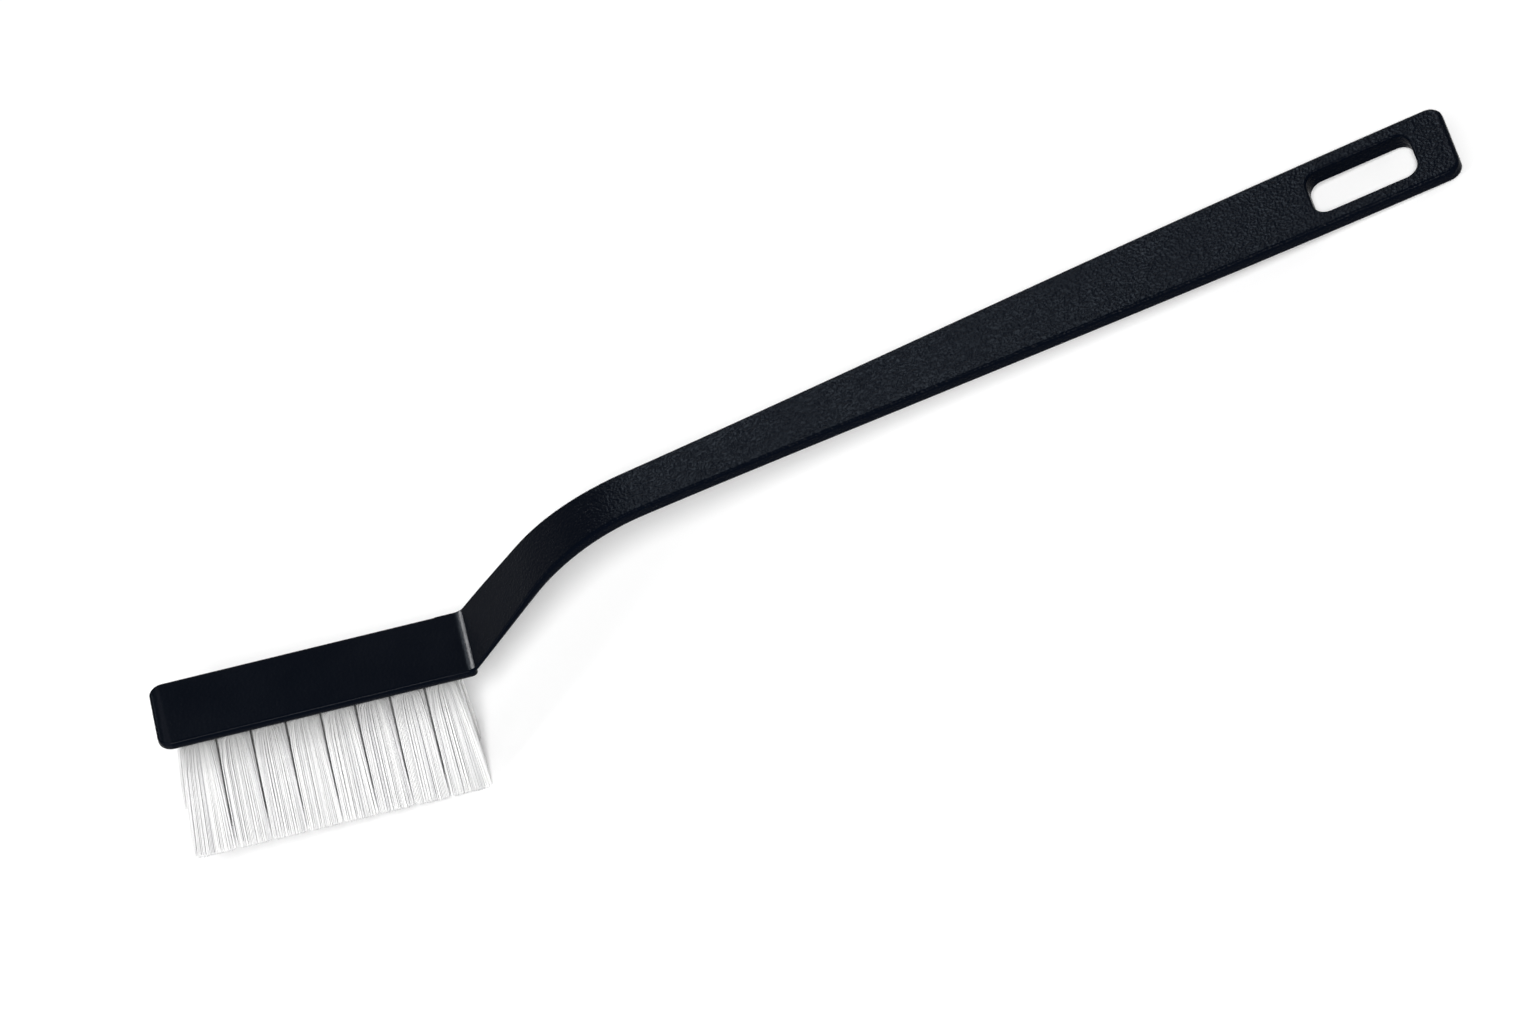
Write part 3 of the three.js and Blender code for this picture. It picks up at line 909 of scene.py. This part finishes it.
filaments = add_node(tuft_tree, "GeometryNodeCurveToMesh", {
    "Curve": lines_tinted.outputs[0], "Profile Curve": outline.outputs[0], "Fill Caps": True,
})
filaments = add_node(tuft_tree, "GeometryNodeSetShadeSmooth", {"Geometry": filaments.outputs[0]})
filaments = add_node(tuft_tree, "GeometryNodeRealizeInstances", {0: filaments.outputs[0]})
filaments = add_node(tuft_tree, "GeometryNodeSetMaterial", {
    "Geometry": filaments.outputs[0], "Material": given["Material"],
})
group_end = tuft_tree.nodes.new("NodeGroupOutput")
tuft_tree.links.new(filaments.outputs[0], group_end.inputs[0])
print("whole tuft tree:", len(tuft_tree.nodes), "nodes")

# %% [markdown]
# Each tuft is a piece of its own, as each is pushed into its own hole. The modifier's inputs are set before
# anything asks for the result, the evaluated mesh becomes the piece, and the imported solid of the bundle,
# which stands in for it in collisions, is no longer shown.

# %% Make the 23 tufts
TUFT_GAP = 0.14
TIP_ROUND = 0.8
FREE_ROOM = 0.09
FILAMENT_DIAMETER = 0.2
FILAMENT_PITCH = 0.23
FILAMENTS = 144

filament_half = FILAMENT_DIAMETER / 2


def half_cell(width, depth):
    """Half of a cell, for the middles of the outermost filaments."""
    taken = TUFT_GAP / 2 + filament_half
    return Vector((width / 2 - taken, depth / 2 - taken - FREE_ROOM, 0))


for number, (label, spot) in enumerate(holes.items()):
    mesh = bpy.data.meshes.new(f"filaments_{label}")
    bundle = bpy.data.objects.new(f"filaments_{label}", mesh)
    bpy.context.scene.collection.objects.link(bundle)
    fan = bundle.modifiers.new("fan", "NODES")
    fan.node_group = tuft_tree
    end_room = FREE_ROOM if spot["tip_width"] > tip_cell[0] else 0
    columns = round(spot["tip_width"] / FILAMENT_PITCH)
    for name, value in {
        "Hole": spot["hole"],
        "Tip": spot["tip"],
        "Bundle Radius": HOLE_DIAMETER / 2 - CLEARANCE - filament_half,
        "Root Half": half_cell(*root_cell),
        "Tip Half": half_cell(spot["tip_width"] - end_room, tip_cell[1]),
        "Tip Round": TIP_ROUND,
        "Fold Depth": HOLE_FLOOR + CLEARANCE + filament_half,
        "Fold Room": FOLD_THICKNESS - FILAMENT_DIAMETER,
        "Mouth Depth": mouth_depth,
        "Trim Length": TRIM_LENGTH - FREE_ROOM,
        "Anchor Gap": ANCHOR_THICKNESS / 2 + CLEARANCE + filament_half,
        "Filament Diameter": FILAMENT_DIAMETER,
        "Columns": columns,
        "Rows": round(FILAMENTS / columns),
        "Seed": number,
        "Material": white_nylon,
    }.items():
        fan[tuft_inputs[name]] = value
    bake_modifiers(bundle)
    bundle.data.transform(lay_down)
    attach(bundle, "root")
    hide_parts(f"tuft_{label}")
print("each tuft:", len(bundle.data.polygons), "faces")

# %% [markdown]
# The anchors stay as they were packed: small flat pieces of drawn wire, out of sight in the head. They
# get a steel whose fine scratches run along the wire, which is noise stretched in one direction.

# %% Steel for the anchors
STEEL_DARK = (0.42, 0.43, 0.44, 1)
STEEL_BRIGHT = (0.58, 0.59, 0.60, 1)

drawn_steel, tree = new_material("drawn_steel_wire")
place = add_node(tree, "ShaderNodeTexCoord").outputs["Object"]
stretched = add_node(tree, "ShaderNodeMapping", {"Vector": place, "Scale": (400.0, 9000.0, 9000.0)})
scratches = add_node(tree, "ShaderNodeTexNoise", {"Vector": stretched.outputs[0], "Scale": 1.0})
wear = add_node(tree, "ShaderNodeMapRange", {
    "Value": scratches.outputs["Fac"], "To Min": 0.22, "To Max": 0.45,
})
steel_shade = add_colour_mix(tree, scratches.outputs["Fac"], STEEL_DARK, STEEL_BRIGHT)
relief = add_node(tree, "ShaderNodeBump", {
    "Strength": 0.4, "Distance": 0.00001, "Height": scratches.outputs["Fac"],
})
shader = add_node(tree, "ShaderNodeBsdfPrincipled", {
    "Base Color": steel_shade,
    "Metallic": 1.0,
    "Roughness": wear.outputs[0],
    "Normal": relief.outputs[0],
})
end_material(tree, shader)
for label in holes:
    anchor = frame["nodes"][f"anchor_{label}"]
    anchor.data.materials.clear()
    anchor.data.materials.append(drawn_steel)
print("anchors finished:", len(holes))

# %% [markdown]
# ## Floor and light
#
# The brush lies on a white sweep. The floor is white paint that also shines a little by itself wherever the
# camera or a reflection looks at it, so the background comes out white while the shadow stays.

# %% Floor
FLOOR_SIZE = 3.0
FLOOR_WHITE = (0.9, 0.9, 0.9, 1)
FLOOR_LIFT = 0.13


def seen_directly(tree):
    """1 for rays that show the background: from the camera, off a gloss or through glass."""
    path = add_node(tree, "ShaderNodeLightPath").outputs
    both = add_node(
        tree, "ShaderNodeMath", {0: path["Is Camera Ray"], 1: path["Is Glossy Ray"]}, operation="MAXIMUM",
    )
    return add_node(
        tree, "ShaderNodeMath", {0: both.outputs[0], 1: path["Is Transmission Ray"]}, operation="MAXIMUM",
    ).outputs[0]


white_floor, tree = new_material("white_floor")
paint = add_node(tree, "ShaderNodeBsdfDiffuse", {"Color": FLOOR_WHITE})
lift = add_node(tree, "ShaderNodeMath", {0: seen_directly(tree), 1: FLOOR_LIFT}, operation="MULTIPLY")
glow = add_node(tree, "ShaderNodeEmission", {"Strength": lift.outputs[0]})
end_material(tree, add_node(tree, "ShaderNodeAddShader", {0: paint.outputs[0], 1: glow.outputs[0]}))

half = FLOOR_SIZE / 2
floor_mesh = bpy.data.meshes.new("floor")
corners = [(-half, -half, 0), (half, -half, 0), (half, half, 0), (-half, half, 0)]
floor_mesh.from_pydata(corners, [], [(0, 1, 2, 3)])
floor = bpy.data.objects.new("floor", floor_mesh)
floor.data.materials.append(white_floor)
bpy.context.scene.collection.objects.link(floor)
print("floor:", FLOOR_SIZE, "m square")

# %% [markdown]
# Soft light from all round comes from the world. It looks white where it is seen, also in reflections, but
# lights the brush more gently, so that the lamps still make a shadow.

# %% World
WORLD_FILL = 0.34

world = bpy.data.worlds.new("white_studio")
bpy.context.scene.world = world
world.use_nodes = True
tree = world.node_tree
tree.nodes.clear()
strength = add_node(tree, "ShaderNodeMapRange", {
    "Value": seen_directly(tree), "To Min": WORLD_FILL, "To Max": 1.0,
})
background = add_node(tree, "ShaderNodeBackground", {
    "Color": (1, 1, 1, 1), "Strength": strength.outputs[0],
})
add_node(tree, "ShaderNodeOutputWorld", {"Surface": background.outputs[0]})
print("world light:", WORLD_FILL)

# %% [markdown]
# The main lamp stands close to the camera's line, so the shadow hugs the lower edge of the brush. A weaker
# one on the left leaves the right flank of each tuft grey. Both are wide discs, which soften the shadow.

# %% Lamps
LAMP_TARGET = Vector((-0.03, 0, 0.02))


def lamp(name, target, direction, distance, size, power):
    made = bpy.data.objects.new(name, bpy.data.lights.new(name, "AREA"))
    made.data.shape = "ELLIPSE"
    made.data.size, made.data.size_y = size
    made.data.energy = power
    towards = Vector(direction).normalized()
    facing = towards.to_track_quat("Z", "Y").to_matrix().to_4x4()
    made.matrix_world = Matrix.Translation(target + towards * distance) @ facing
    bpy.context.scene.collection.objects.link(made)
    return made


lamp("main_lamp", LAMP_TARGET, (0.297, -0.623, 0.724), 2.5, (0.5, 0.5), 57)
lamp("side_lamp", LAMP_TARGET, (-0.80, -0.35, 0.45), 2.5, (0.8, 0.8), 18)
print("lamps at", LAMP_TARGET[:], "from two sides")

# %% [markdown]
# Black plastic shows little more than what it mirrors. So three pale cards stand behind the brush and only
# show in reflections: one that the flat of the grip mirrors, a low one for the rounded far edges, and a
# small one close by, with a grid in front, for the crease of head and neck.

# %% Pale cards for the reflections
GRIP_MIDDLE = Vector((0.045, 0, 0.02))
CREASE_MIDDLE = lay_down @ Vector((HEAD_LENGTH, -1, 0))

grip_card = lamp("grip_card", GRIP_MIDDLE, (0.04, 0.58, 0.814), 2.5, (0.5, 0.5), 37)
grip_card.data.color = (0.76, 0.88, 1)
edge_card = lamp("edge_card", GRIP_MIDDLE, (0.0, 0.95, 0.32), 1.5, (1.2, 0.9), 12)
crease_card = lamp("crease_card", CREASE_MIDDLE, (-0.27, 0.635, 0.724), 0.07, (0.03, 0.03), 0.009)
crease_card.data.spread = math.radians(22)
for card in (grip_card, edge_card, crease_card):
    card.visible_diffuse = False
    card.visible_camera = False
print("cards that only show in reflections: 3")
